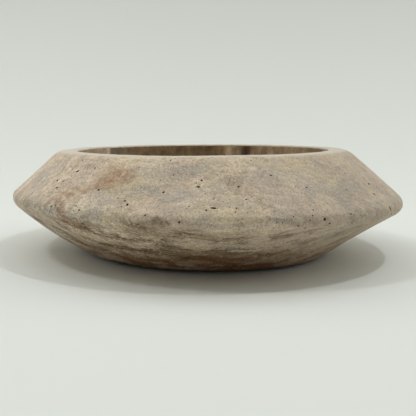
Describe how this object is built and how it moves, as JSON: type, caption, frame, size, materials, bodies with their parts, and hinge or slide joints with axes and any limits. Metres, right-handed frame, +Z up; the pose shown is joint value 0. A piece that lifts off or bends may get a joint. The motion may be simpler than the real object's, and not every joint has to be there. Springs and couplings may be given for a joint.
{
  "type": "stone bowl",
  "caption": "Low carved travertine bowl with a two-cone outside, rounded belly, flat rim and dished hollow, standing on small pads under its flat base.",
  "frame": {"origin": "on the table, under the middle of the belly, level with the undersides of the pads", "axes": "+Z up along the bowl's axis, -Y towards the viewer; the rim is a little lower and further out on the -X side"},
  "size_m": [0.3799, 0.3798, 0.1028],
  "materials": {
    "travertine": "honed, pitted and banded",
    "pad_rubber": "matt"
  },
  "bodies": {
    "root": {"bowl_body": "travertine", "foot_pad_1": "pad_rubber", "foot_pad_2": "pad_rubber", "foot_pad_3": "pad_rubber", "foot_pad_4": "pad_rubber"}
  },
  "joints": []
}
